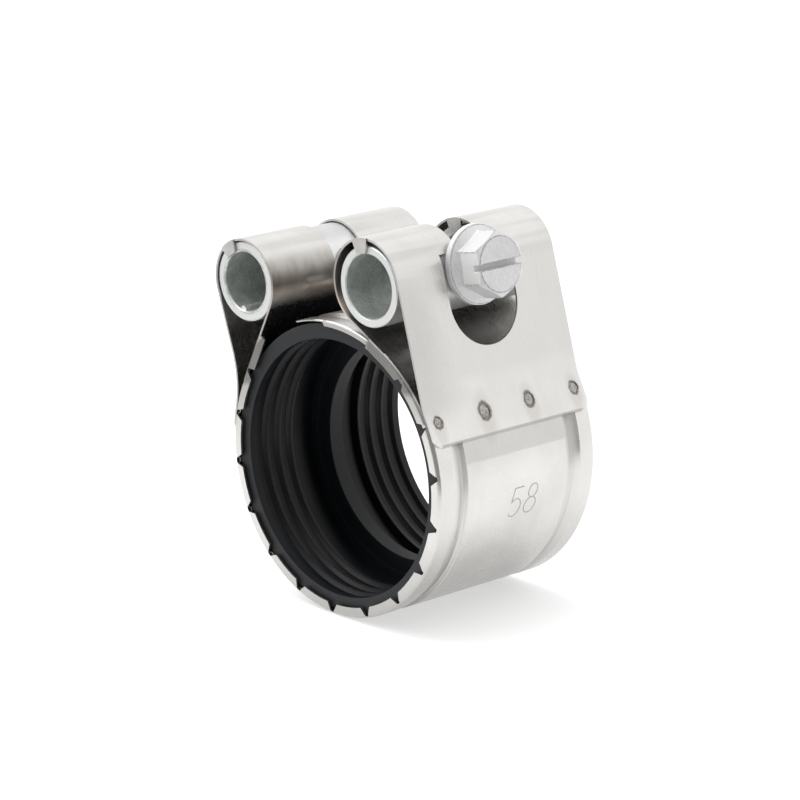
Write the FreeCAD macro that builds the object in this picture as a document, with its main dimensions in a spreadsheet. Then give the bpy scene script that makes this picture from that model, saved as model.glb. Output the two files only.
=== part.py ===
import FreeCAD, Part
import math
import os
import re
import Sketcher

# Pipe coupling for plain pipe ends: a rubber sleeve in a rolled sheet band.
# The pipe axis runs along Y from the front mouth of the sleeve at the origin.
# The lock sits on top (+Z) and the bolt head faces +X.
# Millimetres and degrees.

DRIVING = {
    # pipe and rubber sleeve
    "pipe_diameter": 58.0,
    "rib_clearance": 0.2,
    "rib_height": 0.9,
    "rib_crest": 0.9,
    "rib_foot": 2.2,
    "rib_pitch": 3.65,
    "lip_width": 1.8,
    "lip_gap": 3.4,
    "sleeve_wall": 2.5,
    "sleeve_recess": 0.8,
    "web_bore": 51.0,
    "web_width": 3.7,
    "web_root": 5.6,
    "sleeve_clearance": 0.1,
    "bead_clearance": 0.2,
    # rolled band
    "casing_sheet": 0.5,
    "casing_width": 48.0,
    "flange_depth": 2.4,
    "bend_radius": 0.4,
    "rim_flat": 4.6,
    "groove_width": 4.1,
    "groove_slope": 0.6,
    "groove_depth": 0.8,
    "bead_end_angle": 32.0,
    "groove_end_angle": 30.0,
    "notch_pitch": 20.0,
    "notch_count": 14.0,
    "notch_width": 3.0,
    "notch_neck": 1.6,
    "notch_root": 0.35,
    "notch_run": 1.2,
    # lock legs and loops
    "lock_span": 59.0,
    "lock_sink": 1.4,
    "lock_offset": 3.4,
    "slotted_play": 0.8,
    "threaded_play": 0.3,
    "seat_depth": 0.7,
    "seat_angle": 310.0,
    "leg_width": 47.2,
    "slotted_end_tooth": 5.0,
    "threaded_end_tooth": 13.0,
    "slotted_lean": 8.0,
    "threaded_lean": -11.0,
    "slotted_bend": 12.0,
    "threaded_bend": 24.0,
    "pad_end_angle": 11.0,
    "pad_corner": 2.2,
    "weld_diameter": 2.8,
    "weld_depth": 0.15,
    "weld_margin": 2.9,
    "weld_inner": 13.6,
    "weld_angle": 20.0,
    "loop_slot": 9.0,
    "window_radius": 10.0,
    "window_drop": 6.2,
    "window_lift": 5.0,
    "tab_root": 4.4,
    "tab_tip": 2.8,
    "tab_clearance": 0.1,
    "tab_skin": 0.05,
    "tab_angle_slotted": 92.0,
    "tab_angle_threaded": 116.0,
    # bridge plate
    "plate_sheet": 0.4,
    "plate_lip": 1.3,
    "plate_bend": 0.2,
    "plate_end_clearance": 0.1,
    "plate_hidden_angle": 20.0,
    "plate_free_angle": 62.0,
    "plate_free_sweep": 40.0,
    "plate_lift": 3.4,
    "plate_corner": 2.0,
    "plate_relief": 16.0,
    "plate_relief_slant": 2.0,
    # lock tubes
    "tube_diameter": 18.0,
    "tube_length": 46.6,
    "tube_chamfer": 0.25,
    "threaded_wall": 2.2,
    "slotted_wall": 1.8,
    "tube_slot": 10.0,
    "tube_slot_floor": 4.4,
    "seam_gap": 0.4,
    "seam_angle": 99.0,
    "weld_bead": 0.9,
    "bead_angle": 250.0,
    # clamp bolt
    "bolt_lift": 1.6,
    "bolt_diameter": 8.0,
    "bolt_length": 55.0,
    "thread_clearance": 0.05,
    "bolt_tip_chamfer": 1.0,
    "seat_gap": 0.3,
    "bolt_flange": 17.8,
    "flange_rim": 1.3,
    "flange_cone": 1.3,
    "hex_flats": 13.0,
    "hex_crown": 12.2,
    "head_height": 8.1,
    "crown_drop": 0.8,
    "driver_slot": 1.4,
    "driver_depth": 1.9,
}

# Sizes that follow from the driving ones, as sheet formulas in reading order.
DERIVED = {
    "rib_radius": "pipe_diameter / 2 + rib_clearance",
    "sleeve_bore": "rib_radius + rib_height",
    "sleeve_outer": "sleeve_bore + sleeve_wall",
    "plate_inner": "sleeve_outer + sleeve_clearance",
    "casing_inner": "plate_inner + plate_sheet",
    "casing_outer": "casing_inner + casing_sheet",
    "casing_half": "casing_width / 2",
    "bend_outer": "bend_radius + casing_sheet",
    "tooth_radius": "casing_outer - flange_depth",
    "raised_width": "casing_width - rim_flat * 2 - groove_width * 2",
    "raised_half": "raised_width / 2",
    "groove_half": "raised_half + groove_width",
    "plate_half": "casing_half - casing_sheet - plate_end_clearance",
    "plate_crown": "plate_bend + plate_sheet",
    "sleeve_half": "plate_half - plate_sheet - plate_end_clearance",
    "rib_start": "sleeve_half - lip_width - lip_gap - rib_pitch * 2",
    "tube_radius": "tube_diameter / 2",
    "leg_half": "leg_width / 2",
    "weld_outer": "leg_width - weld_margin * 2",
    "tab_hold": "abs(tube_length / 2 - leg_half) + tab_root",
    "lock_spacing": "lock_span - tube_diameter",
    "lock_rise": "tube_radius - lock_sink",
    "lock_height": "casing_outer + lock_rise",
    "pad_outer": "casing_outer + casing_sheet",
    "slotted_reach": "lock_spacing / 2 - lock_offset",
    "threaded_reach": "lock_spacing / 2 + lock_offset",
    "slotted_across": "slotted_reach - seat_depth * cos(seat_angle)",
    "slotted_height": "lock_height - seat_depth * sin(seat_angle)",
    "threaded_across": "threaded_reach",
    "threaded_height": "lock_height",
    "seat_plane": "slotted_reach + tube_radius + seat_gap",
    "hex_corner": "hex_flats / sqrt(3)",
    "head_top": "seat_plane + head_height",
    "lift_across": "lock_height * sin(bolt_lift) - threaded_reach * (1 - cos(bolt_lift))",
    "lift_up": "lock_height * (1 - cos(bolt_lift)) + threaded_reach * sin(bolt_lift)",
}

# The same for each leg: its loop, the angle where it leaves the band and its foot on the band.
# A leg leans by its own angle and its foot is a bend that touches leg and band.
LEG = {
    "loop_inner": "tube_radius + leg_play",
    "loop_outer": "leg_loop_inner + casing_sheet",
    "distance": "sqrt(leg_across ^ 2 + leg_height ^ 2)",
    "spread": "acos((casing_inner + leg_loop_outer) / leg_distance) / 1 deg",
    "leave": "atan(leg_height / leg_across) / 1 deg - leg_spread",
    "plane": "leg_across * cos(leg_lean) + leg_height * sin(leg_lean)",
    "bend_plane": "leg_plane + leg_loop_inner + casing_sheet / 2 + leg_bend",
    "bend_reach": "casing_outer + casing_sheet / 2 + leg_bend",
    "foot": "leg_lean + acos(leg_bend_plane / leg_bend_reach) / 1 deg",
}


def of_leg(side, formula):
    """A formula of leg names written for one side."""
    return re.sub(r"\bleg_(?!width|half)", side + "_", formula)


for side in ("slotted", "threaded"):
    DERIVED.update({side + "_" + name: of_leg(side, text) for name, text in LEG.items()})

NAMES = re.compile(r"\b[a-z]+(?:_[a-z]+)+\b")

doc = FreeCAD.newDocument("pipe_coupling")
sheet = doc.addObject("Spreadsheet::Sheet", "Sizes")


def fill_sheet():
    rows = list(DRIVING.items())
    rows += [(name, "=" + formula) for name, formula in DERIVED.items()]
    for row, (name, value) in enumerate(rows, start=1):
        sheet.set("A%d" % row, name)
        sheet.set("B%d" % row, str(value))
        sheet.setAlias("B%d" % row, name)
    doc.recompute()


def value_of(formula):
    return float(sheet.evalExpression(formula))


def bound(formula):
    return NAMES.sub(lambda found: "Sizes." + found[0], formula)


def bind(item, prop, formula):
    item.setExpression(prop, bound(formula))


def new_body(name):
    """Body drawn about the middle of the pipe axis and moved to the front mouth."""
    body = doc.addObject("PartDesign::Body", name)
    bind(body, "Placement.Base.y", "sleeve_half")
    return body


def swing_up(body):
    """Turns a body about the threaded tube's axis by the small angle at which the bolt stands."""
    body.Placement.Rotation = FreeCAD.Rotation(FreeCAD.Vector(0, -1, 0), value_of("bolt_lift"))
    bind(body, "Placement.Rotation.Angle", "bolt_lift")
    bind(body, "Placement.Base.x", "lift_across")
    bind(body, "Placement.Base.z", "lift_up")


def origin_feature(body, role):
    return next(item for item in body.Origin.OriginFeatures if item.Role == role)


def new_sketch(body, name, plane, offset=None, turn=None, axis=(0, 0, 1)):
    """Sketch on an origin plane, moved by formulas and turned about one local axis."""
    sketch = body.newObject("Sketcher::SketchObject", name)
    sketch.AttachmentSupport = [(origin_feature(body, plane), "")]
    sketch.MapMode = "FlatFace"
    if turn:
        spin = FreeCAD.Rotation(FreeCAD.Vector(*axis), value_of(turn))
        sketch.AttachmentOffset = FreeCAD.Placement(FreeCAD.Vector(), spin)
        bind(sketch, "AttachmentOffset.Rotation.Angle", turn)
    for letter, formula in (offset or {}).items():
        bind(sketch, "AttachmentOffset.Base." + letter, formula)
    return sketch


def place_point(sketch, index, end, corner):
    for kind, formula in zip(("DistanceX", "DistanceY"), corner[:2]):
        number = sketch.addConstraint(Sketcher.Constraint(kind, index, end, value_of(formula)))
        bind(sketch, "Constraints[%d]" % number, formula)


def arc_between(start, stop, radius):
    """Minor arc; a positive radius turns anticlockwise from start to stop."""
    chord = stop - start
    rise = math.sqrt(max(radius ** 2 - chord.Length ** 2 / 4, 0.0))
    side = FreeCAD.Vector(-chord.y, chord.x, 0).normalize()
    centre = (start + stop) / 2 + side * math.copysign(rise, radius)
    first, last = (start, stop) if radius > 0 else (stop, start)
    angles = [math.atan2(point.y - centre.y, point.x - centre.x) for point in (first, last)]
    circle = Part.Circle(centre, FreeCAD.Vector(0, 0, 1), abs(radius))
    return Part.ArcOfCircle(circle, angles[0], angles[1])


def draw(sketch, corners):
    """Closed outline; a corner with a third formula starts an arc of that signed radius."""
    points = [FreeCAD.Vector(value_of(corner[0]), value_of(corner[1]), 0) for corner in corners]
    ends = []
    for number, corner in enumerate(corners):
        start, stop = points[number], points[(number + 1) % len(points)]
        if len(corner) == 3:
            radius = value_of(corner[2])
            index = sketch.addGeometry(arc_between(start, stop, radius))
            limit = sketch.addConstraint(Sketcher.Constraint("Radius", index, abs(radius)))
            bind(sketch, "Constraints[%d]" % limit, "abs(%s)" % corner[2])
            ends.append((index, 1, 2) if radius > 0 else (index, 2, 1))
        else:
            index = sketch.addGeometry(Part.LineSegment(start, stop))
            ends.append((index, 1, 2))
    for number, corner in enumerate(corners):
        index, begin, end = ends[number]
        after, after_begin, after_end = ends[(number + 1) % len(ends)]
        sketch.addConstraint(Sketcher.Constraint("Coincident", index, end, after, after_begin))
        place_point(sketch, index, begin, corner)


def draw_circle(sketch, across, up, radius):
    centre = FreeCAD.Vector(value_of(across), value_of(up), 0)
    circle = Part.Circle(centre, FreeCAD.Vector(0, 0, 1), value_of(radius))
    index = sketch.addGeometry(circle)
    place_point(sketch, index, 3, (across, up))
    number = sketch.addConstraint(Sketcher.Constraint("Radius", index, value_of(radius)))
    bind(sketch, "Constraints[%d]" % number, radius)


def draw_axis(sketch, height):
    """Level turning axis of a sketch at a given height."""
    start, stop = FreeCAD.Vector(0, value_of(height), 0), FreeCAD.Vector(1, value_of(height), 0)
    index = sketch.addGeometry(Part.LineSegment(start, stop), True)
    place_point(sketch, index, 1, ("0", height))
    place_point(sketch, index, 2, ("1", height))
    return (sketch, ["Axis0"])


def backwards(line):
    """The same line walked from its end."""
    corners = []
    for number in range(len(line) - 1, -1, -1):
        before = line[number - 1] if number else ()
        arc = ("-(%s)" % before[2],) if len(before) == 3 else ()
        corners.append(line[number][:2] + arc)
    return corners


def flipped(line):
    """The same line on the other side of the upright axis."""
    arcs = [("-(%s)" % corner[2],) if len(corner) == 3 else () for corner in line]
    return [("-(%s)" % corner[0], corner[1]) + arc for corner, arc in zip(line, arcs)]


def sheet_outline(upper, lower):
    """Closed outline of a sheet from the right halves of its two faces."""
    top = backwards(flipped(upper)) + upper
    return top + backwards(backwards(flipped(lower)) + lower)


def feature(body, kind, name, sketch, **settings):
    item = body.newObject("PartDesign::" + kind, name)
    item.Profile = sketch
    for prop, value in settings.items():
        if isinstance(value, str) and prop in ("Length", "Angle"):
            bind(item, prop, value)
        else:
            setattr(item, prop, value)
    sketch.Visibility = False
    body.Tip = item
    return item


def mirror(body, name, originals, plane="YZ_Plane"):
    item = body.newObject("PartDesign::Mirrored", name)
    item.Originals = originals
    item.MirrorPlane = (origin_feature(body, plane), [""])
    body.Tip = item
    return item


def edges_where(item, test):
    doc.recompute()
    return ["Edge%d" % (number + 1) for number, edge in enumerate(item.Shape.Edges) if test(edge)]


def polar(radius, angle):
    return ("(%s) * cos(%s)" % (radius, angle), "(%s) * sin(%s)" % (radius, angle))


def groove_line(radius, shift="0"):
    """Outer half of a sheet line with the rolled groove, from the middle outwards."""
    floor = "%s - groove_depth" % radius
    return [
        ("raised_half - (%s)" % shift, radius),
        ("raised_half + groove_slope - (%s)" % shift, floor),
        ("raised_half + groove_slope * 2 + (%s)" % shift, floor),
        ("groove_half + (%s)" % shift, radius),
    ]


def make_sleeve():
    body = new_body("sealing_sleeve")
    sketch = new_sketch(body, "sleeve_section", "YZ_Plane")
    line = [("0", "web_bore / 2"), ("web_width / 2", "web_bore / 2")]
    line += [("web_root / 2", "sleeve_bore + sleeve_recess")]
    line += [("rib_start - rib_foot / 2", "sleeve_bore + sleeve_recess")]
    for place in ("rib_start", "rib_start + rib_pitch", "rib_start + rib_pitch * 2"):
        line += [(place + " - rib_crest / 2", "rib_radius + rib_crest / 4", "rib_crest / 4")]
        line += [(place + " - rib_crest / 4", "rib_radius")]
        line += [(place + " + rib_crest / 4", "rib_radius", "rib_crest / 4")]
        line += [(place + " + rib_crest / 2", "rib_radius + rib_crest / 4")]
        line += [(place + " + rib_foot / 2", "sleeve_bore")]
        line += [(place + " + rib_pitch - rib_foot / 2", "sleeve_bore")]
    line[-1] = ("sleeve_half - lip_width - rib_foot / 4", "sleeve_bore")
    line += [("sleeve_half - lip_width", "rib_radius")]
    line += [("sleeve_half", "rib_radius")]
    line += [("sleeve_half", "sleeve_outer")]
    line += list(reversed(groove_line("sleeve_outer", "bead_clearance")))
    line += [("0", "sleeve_outer")]
    draw(sketch, line)
    half = feature(body, "Revolution", "sleeve_half_ring", sketch, ReferenceAxis=(sketch, ["H_Axis"]))
    half.Angle = 360
    mirror(body, "sleeve_ring", [half], "XZ_Plane")


def band_section(sketch):
    """Sheet section with both edges folded towards the pipe, radius upwards."""
    outer = [("casing_half - bend_outer", "casing_outer", "-bend_outer")]
    outer += [("casing_half", "casing_outer - bend_outer")]
    outer += [("casing_half", "tooth_radius")]
    inner = [("casing_half - bend_outer", "casing_inner", "-bend_radius")]
    inner += [("casing_half - casing_sheet", "casing_outer - bend_outer")]
    inner += [("casing_half - casing_sheet", "tooth_radius")]
    draw(sketch, sheet_outline(outer, inner))


def bead_sections(sketch, radius, cover):
    """Both rolled grooves between a sheet line and a cover line."""
    for side in ("", "-"):
        line = groove_line(radius)
        line += [("groove_half", cover), ("raised_half", cover)]
        draw(sketch, [("%s(%s)" % (side, across), height) for across, height in line])


def leg_outline(side):
    """One leg from the band round its lock tube and down to its pad, on the right."""
    back = "leg_leave + 180"
    inner = [polar("casing_outer", "leg_leave")]
    inner += [around_loop("leg_loop_inner", back) + ("-leg_loop_inner",)]
    inner += [around_loop("leg_loop_inner", "90") + ("-leg_loop_inner",)]
    inner += [around_loop("leg_loop_inner", "leg_lean")]
    inner += [around_bend("leg_bend + casing_sheet / 2") + ("leg_bend + casing_sheet / 2",)]
    inner += [polar("casing_outer", "leg_foot") + ("-casing_outer",)]
    inner += [polar("casing_outer", "pad_end_angle")]
    outer = [polar("pad_outer", "pad_end_angle") + ("pad_outer",)]
    outer += [polar("pad_outer", "leg_foot") + ("-(leg_bend - casing_sheet / 2)",)]
    outer += [around_bend("leg_bend - casing_sheet / 2")]
    outer += [around_loop("leg_loop_outer", "leg_lean") + ("leg_loop_outer",)]
    outer += [around_loop("leg_loop_outer", "90") + ("leg_loop_outer",)]
    outer += [around_loop("leg_loop_outer", back)]
    outer += [polar("casing_inner", "leg_leave")]
    return [tuple(of_leg(side, text) for text in corner) for corner in inner + outer]


def around_loop(radius, angle):
    across, up = polar(radius, angle)
    return ("leg_across + " + across, "leg_height + " + up)


def around_bend(radius):
    """Point of the foot's bend where it meets the straight of the leg."""
    middle, back = polar("leg_bend_reach", "leg_foot"), polar(radius, "leg_lean")
    return (middle[0] + " - " + back[0], middle[1] + " - " + back[1])


def upright_slot(sketch, half, centre, top):
    """Slot with a round floor, open to a level above."""
    floor = "%s - (%s)" % (centre, half)
    corners = [("-(%s)" % half, centre, half), ("0", floor, half), (half, centre)]
    draw(sketch, corners + [(half, top), ("-(%s)" % half, top)])


def make_tab(body, name, side, face, tip):
    """Narrow ear bent down over a tube end; face is its depth towards the front."""
    sign = "-" if side == "threaded" else ""
    offset = {"x": sign + side + "_across", "y": side + "_height", "z": face}
    turn = "tab_angle_%s - 90" % side
    sketch = new_sketch(body, name + "_shape", "XZ_Plane", offset, turn)
    root = "sqrt(leg_loop_outer ^ 2 - tab_root ^ 2 / 4)"
    line = [("tab_root / 2", root, "leg_loop_outer"), ("-tab_root / 2", root)]
    line += [("-tab_root / 2", "leg_loop_inner - casing_sheet"), ("-tab_tip / 2", tip)]
    line += [("tab_tip / 2", tip), ("tab_root / 2", "leg_loop_inner - casing_sheet")]
    draw(sketch, [tuple(of_leg(side, text) for text in corner) for corner in line])
    return feature(body, "Pad", name, sketch, Length="casing_sheet")


def carry_tab(body, name, side, face):
    """Strip of the loop's sheet that carries an ear out to a tube end beyond the leg's edge."""
    sign = "-" if side == "threaded" else ""
    offset = {"x": sign + side + "_across", "y": side + "_height", "z": face}
    turn = "tab_angle_%s - 90" % side
    sketch = new_sketch(body, name + "_shape", "XZ_Plane", offset, turn)
    line = []
    for radius, bulge in (("leg_loop_outer - tab_skin", ""), ("leg_loop_inner + tab_skin", "-")):
        up = "sqrt((%s) ^ 2 - tab_tip ^ 2 / 4)" % radius
        ends = [("tab_tip / 2", up), ("-tab_tip / 2", up)]
        first, last = ends if not bulge else ends[::-1]
        line += [first + ("%s(%s)" % (bulge, radius),), last]
    draw(sketch, [tuple(of_leg(side, text) for text in corner) for corner in line])
    feature(body, "Pad", name, sketch, Length="tab_hold", Reversed=True)


def make_casing():
    body = new_body("casing")
    body.AllowCompound = True
    legs = {"slotted": leg_outline("slotted"), "threaded": flipped(leg_outline("threaded"))}
    for side, line in legs.items():
        shape = new_sketch(body, side + "_leg_shape", "XZ_Plane")
        draw(shape, line)
        leg = feature(body, "Pad", side + "_leg", shape, Length="leg_width", Midplane=True)
    round_pads(body, leg)

    middle = "180 - (slotted_leave - threaded_leave) / 2"
    section = new_sketch(body, "band_section", "YZ_Plane", None, middle, (1, 0, 0))
    band_section(section)
    turn = {"ReferenceAxis": (section, ["H_Axis"]), "Midplane": True}
    sweep = "180 + slotted_leave + threaded_leave"
    feature(body, "Revolution", "rolled_band", section, Angle=sweep, **turn)
    for side, axis in (("slotted", (1, 0, 0)), ("threaded", (-1, 0, 0))):
        turned = "90 - %s_leave" % side
        tooth = new_sketch(body, side + "_tooth_section", "YZ_Plane", None, turned, axis)
        band_section(tooth)
        settings = {"Length": side + "_end_tooth", "Reversed": side == "slotted"}
        feature(body, "Pad", side + "_tooth", tooth, **settings)

    inside = new_sketch(body, "bead_section", "YZ_Plane", None, "180", (1, 0, 0))
    bead_sections(inside, "casing_inner", "casing_inner + casing_sheet / 2")
    turn["ReferenceAxis"] = (inside, ["H_Axis"])
    feature(body, "Revolution", "rolled_beads", inside, Angle="180 + bead_end_angle * 2", **turn)
    outside = new_sketch(body, "groove_section", "YZ_Plane", None, "180", (1, 0, 0))
    bead_sections(outside, "casing_outer", "casing_outer + casing_sheet / 4")
    turn["ReferenceAxis"] = (outside, ["H_Axis"])
    feature(body, "Groove", "rolled_grooves", outside, Angle="180 + groove_end_angle * 2", **turn)

    cut_notches(body)
    cut_lock(body)
    add_tabs(body)
    weld_pads(body)


def cut_notches(body):
    first = "notch_pitch * (notch_count - 1) / 2"
    cuts = []
    for name, depth, ahead in (("front", "", False), ("back", "-", True)):
        plane = {"z": "%s(casing_half - notch_run)" % depth}
        sketch = new_sketch(body, name + "_notch_shape", "XZ_Plane", plane, first)
        floor = "-(casing_outer - notch_root)"
        neck = "-(casing_outer - notch_root - notch_neck / 2)"
        line = [("-notch_width / 2", "-(tooth_radius - 1)"), ("-notch_width / 2", "-tooth_radius")]
        line += [("-notch_neck / 2", neck), ("-notch_neck / 4", floor)]
        line += [("notch_neck / 4", floor), ("notch_neck / 2", neck)]
        line += [("notch_width / 2", "-tooth_radius"), ("notch_width / 2", "-(tooth_radius - 1)")]
        draw(sketch, line)
        settings = {"Length": "notch_run * 2", "Reversed": not ahead}
        cuts.append(feature(body, "Pocket", name + "_notch", sketch, **settings))
    row = body.newObject("PartDesign::PolarPattern", "notches")
    row.Originals = cuts
    row.Axis = (origin_feature(body, "Y_Axis"), [""])
    bind(row, "Angle", "notch_pitch * (notch_count - 1)")
    bind(row, "Occurrences", "notch_count")
    body.Tip = row


def cut_lock(body):
    slot = new_sketch(body, "loop_slot_shape", "YZ_Plane")
    upright_slot(slot, "loop_slot / 2", "lock_height", "lock_height + tube_diameter")
    feature(body, "Pocket", "loop_slots", slot, Length="lock_spacing * 2", Midplane=True)
    start = {"z": "slotted_reach + tube_radius * 3 / 4"}
    window = new_sketch(body, "window_shape", "YZ_Plane", start)
    upright_slot(window, "window_radius", "lock_height - window_drop", "lock_height + window_lift")
    feature(body, "Pocket", "head_window", window, Length="tube_diameter", Reversed=True)


def add_tabs(body):
    front = "tube_length / 2 + tab_clearance"
    slotted = "tube_radius - slotted_wall - seat_depth / 2"
    make_tab(body, "front_tab_slotted", "slotted", front, slotted)
    make_tab(body, "slot_tab", "slotted", "tab_clearance - tube_slot / 2", slotted)
    make_tab(body, "front_tab_threaded", "threaded", front, "tube_radius - threaded_wall")
    carry_tab(body, "front_strip_slotted", "slotted", front)
    carry_tab(body, "front_strip_threaded", "threaded", front)


def round_pads(body, legs):
    end = value_of("pad_outer * sin(pad_end_angle)")

    def is_corner(edge):
        centre = edge.CenterOfMass
        level = abs(centre.z - end) < value_of("casing_sheet / 2")
        return level and abs(edge.Length - value_of("casing_sheet")) < 0.01

    corners = body.newObject("PartDesign::Fillet", "pad_corners")
    corners.Base = (legs, edges_where(legs, is_corner))
    bind(corners, "Radius", "pad_corner")
    body.Tip = corners


def weld_pads(body):
    place = {"y": "pad_outer * sin(weld_angle)", "z": "pad_outer * cos(weld_angle)"}
    sketch = new_sketch(body, "weld_spots", "YZ_Plane", place, "weld_angle", (-1, 0, 0))
    for across in ("weld_outer / 2", "weld_inner / 2"):
        for side in ("", "-"):
            draw_circle(sketch, side + across, "0", "weld_diameter / 2")
    spots = feature(body, "Pocket", "spot_welds", sketch, Length="weld_depth")
    mirror(body, "spot_welds_both", [spots])


def plate_section(sketch):
    """Lipped sheet section with the grooves of the band, radius upwards."""
    outer = groove_line("casing_inner")
    outer += [("plate_half - plate_crown", "casing_inner", "-plate_crown")]
    outer += [("plate_half", "casing_inner - plate_crown")]
    outer += [("plate_half", "casing_inner - plate_lip")]
    inner = groove_line("plate_inner")
    inner += [("plate_half - plate_crown", "plate_inner", "-plate_bend")]
    inner += [("plate_half - plate_sheet", "casing_inner - plate_crown")]
    inner += [("plate_half - plate_sheet", "casing_inner - plate_lip")]
    draw(sketch, sheet_outline(outer, inner))


def make_plate():
    body = new_body("bridge_plate")
    turn = "90 - plate_free_angle"
    lying = new_sketch(body, "lying_section", "YZ_Plane", None, turn, (1, 0, 0))
    plate_section(lying)
    sweep = "plate_free_angle - plate_hidden_angle"
    axis = (lying, ["H_Axis"])
    feature(body, "Revolution", "lying_part", lying, ReferenceAxis=axis, Angle=sweep)
    free = new_sketch(body, "free_section", "YZ_Plane", None, turn, (1, 0, 0))
    axis = draw_axis(free, "-plate_lift")
    plate_section(free)
    settings = {"ReferenceAxis": axis, "Angle": "plate_free_sweep", "Reversed": True}
    feature(body, "Revolution", "free_part", free, **settings)
    angle = "(plate_free_angle + plate_free_sweep)"
    edge = "(casing_inner + plate_lift) * cos(%s) - plate_lift * cos(plate_free_angle)" % angle
    corner = new_sketch(body, "free_end_corners", "XY_Plane")
    for side in ("", "-"):
        line = [(edge, "plate_half - plate_corner", "-plate_corner")]
        line += [("%s + plate_corner" % edge, "plate_half")]
        line += [("%s + plate_corner" % edge, "plate_half + casing_sheet")]
        line += [("%s - casing_sheet" % edge, "plate_half + casing_sheet")]
        line += [("%s - casing_sheet" % edge, "plate_half - plate_corner")]
        if side:
            line = [(x, "-(%s)" % y) + tuple("-(%s)" % r for r in rest) for x, y, *rest in line]
        draw(corner, line)
    feature(body, "Pocket", "rounded_free_end", corner, Length="pad_outer * 2", Reversed=True)
    relieve_lips(body)


def relieve_lips(body):
    """Cuts the lips away under the free end of the plate, up to a slanted shoulder."""
    tip = "(plate_free_angle + plate_free_sweep)"
    under, lower = "plate_inner + plate_lift", "casing_inner + plate_lift - plate_lip * 2"
    shoulder = "%s - plate_relief" % tip
    line = [around_free_end(under, shoulder) + (under,)]
    line += [around_free_end(under, tip + " + plate_relief / 2")]
    line += [around_free_end(lower, tip + " + plate_relief / 2") + ("-(%s)" % lower,)]
    line += [around_free_end(lower, shoulder + " - plate_relief_slant")]
    relief = new_sketch(body, "lip_relief_shape", "XZ_Plane", {"z": "plate_half - plate_crown"})
    draw(relief, line)
    cut = feature(body, "Pocket", "lip_relief", relief, Length="plate_crown * 2", Reversed=True)
    mirror(body, "lip_relief_both", [cut], "XZ_Plane")


def around_free_end(radius, angle):
    """Point about the shifted centre that lifts the free part of the plate."""
    across, up = polar(radius, angle)
    back = polar("plate_lift", "plate_free_angle")
    return (across + " - " + back[0], up + " - " + back[1])


def make_tube(name, centre, wall):
    body = new_body(name)
    sketch = new_sketch(body, name + "_section", "XZ_Plane")
    draw_circle(sketch, centre, "lock_height", "tube_radius")
    draw_circle(sketch, centre, "lock_height", "tube_radius - " + wall)
    tube = feature(body, "Pad", name + "_wall", sketch, Length="tube_length", Midplane=True)
    rims = body.newObject("PartDesign::Chamfer", name + "_rims")
    rims.Base = (tube, edges_where(tube, lambda edge: abs(edge.CenterOfMass.y) > 1))
    bind(rims, "Size", "tube_chamfer")
    body.Tip = rims
    return body


def make_threaded_tube():
    body = make_tube("threaded_tube", "-threaded_reach", "threaded_wall")
    bead = new_sketch(body, "weld_bead_shape", "XZ_Plane")
    reach = "tube_radius - threaded_wall"
    across, up = polar(reach, "bead_angle")
    draw_circle(bead, "-threaded_reach + " + across, "lock_height + " + up, "weld_bead")
    length = "tube_length - tube_chamfer * 4"
    feature(body, "Pad", "weld_bead_pad", bead, Length=length, Midplane=True)
    hole = new_sketch(body, "thread_shape", "YZ_Plane")
    draw_circle(hole, "0", "lock_height", "bolt_diameter / 2 + thread_clearance")
    feature(body, "Pocket", "thread_hole", hole, Length="lock_spacing * 2", Midplane=True)
    swing_up(body)


def make_slotted_tube():
    body = make_tube("slotted_tube", "slotted_reach", "slotted_wall")
    slot = new_sketch(body, "tube_slot_shape", "YZ_Plane")
    centre = "lock_height + tube_slot / 2 - tube_slot_floor"
    upright_slot(slot, "tube_slot / 2", centre, "lock_height + tube_diameter")
    feature(body, "Pocket", "bolt_slot", slot, Length="lock_spacing * 2", Midplane=True)
    place = {"x": "slotted_reach", "y": "lock_height"}
    seam = new_sketch(body, "seam_shape", "XZ_Plane", place, "seam_angle - 90")
    half, low, high = "seam_gap / 2", "tube_radius / 2", "tube_diameter"
    draw(seam, [("-" + half, low), (half, low), (half, high), ("-" + half, high)])
    feature(body, "Pocket", "butt_seam", seam, Length="tube_length * 2", Midplane=True)


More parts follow.
